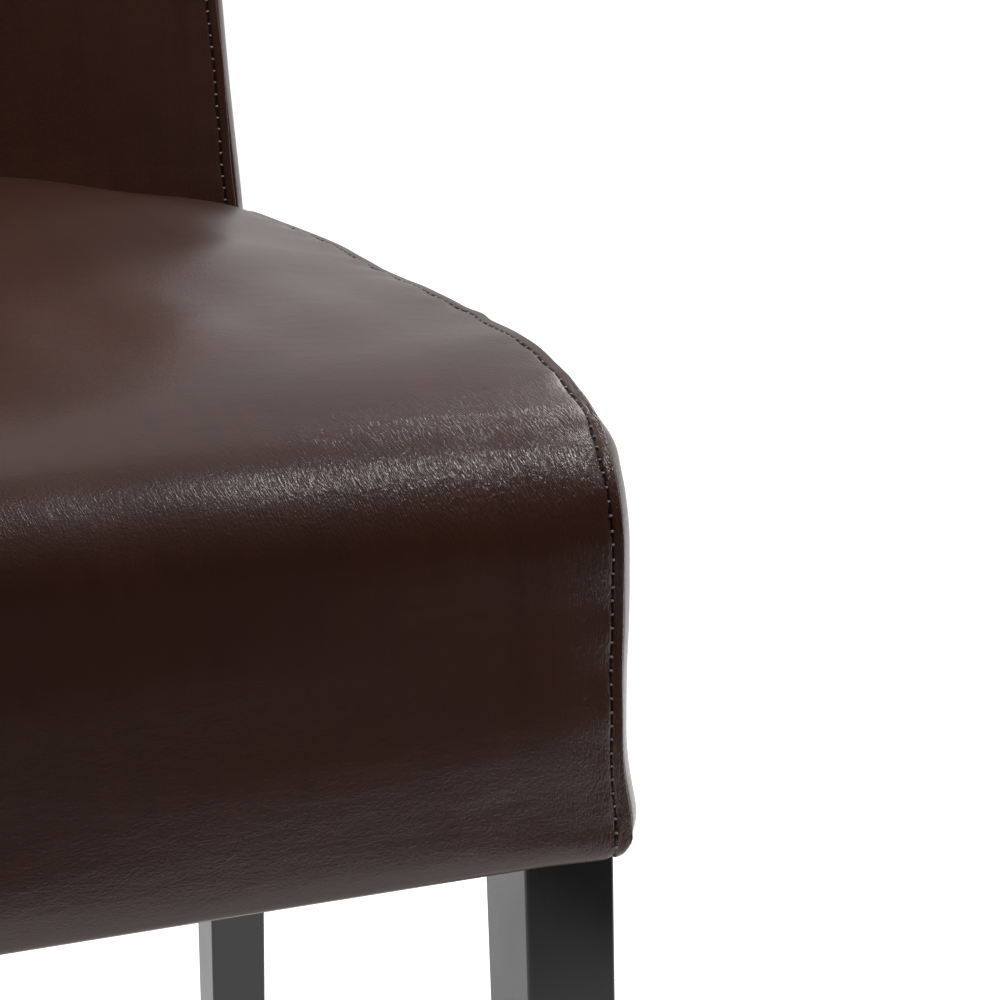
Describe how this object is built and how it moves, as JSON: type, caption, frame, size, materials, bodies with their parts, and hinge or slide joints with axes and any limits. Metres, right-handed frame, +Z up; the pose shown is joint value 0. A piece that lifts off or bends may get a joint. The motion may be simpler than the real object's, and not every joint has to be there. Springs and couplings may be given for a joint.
{
  "type": "upholstered dining chair",
  "caption": "Armless dining chair with a leather-covered seat box with a waterfall front, a tall leaning leather back and plain square black legs, for one person to sit on.",
  "frame": {"origin": "on the floor, under the middle of the chair's bounding box", "axes": "+Z up, the chair faces -Y, +X to the right of someone looking at its front"},
  "size_m": [0.4484, 0.6044, 1.046],
  "materials": {
    "brown_leather": "satin",
    "foam": "matte",
    "wadding": "matte",
    "black_wood": "satin",
    "frame_wood": "matte",
    "tenon_wood": "matte",
    "webbing": "matte",
    "dust_cloth": "matte",
    "glide_nylon": "satin"
  },
  "bodies": {
    "root": {"seat_cover": "brown_leather", "seat_side_cover_left": "brown_leather", "seat_side_cover_right": "brown_leather", "inside_back_cover": "brown_leather", "back_gusset_left": "brown_leather", "back_gusset_right": "brown_leather", "outside_back_cover": "brown_leather", "seat_foam": "foam", "back_foam": "foam", "front_wadding": "wadding", "side_wadding_left": "wadding", "side_wadding_right": "wadding", "rear_wadding": "wadding", "front_leg_left": "black_wood", "front_leg_right": "black_wood", "rear_leg_left": "black_wood", "rear_leg_right": "black_wood", "front_rail": "frame_wood", "rear_rail": "frame_wood", "side_rail_left": "frame_wood", "side_rail_right": "frame_wood", "crest_rail": "frame_wood", "lower_back_rail": "frame_wood", "corner_block_front_left": "frame_wood", "corner_block_front_right": "frame_wood", "corner_block_rear_left": "frame_wood", "corner_block_rear_right": "frame_wood", "rail_tenons": "tenon_wood", "seat_webbing_lengthwise": "webbing", "seat_webbing_crosswise": "webbing", "back_webbing": "webbing", "dust_cover": "dust_cloth", "foot_glides": "glide_nylon"}
  },
  "joints": []
}
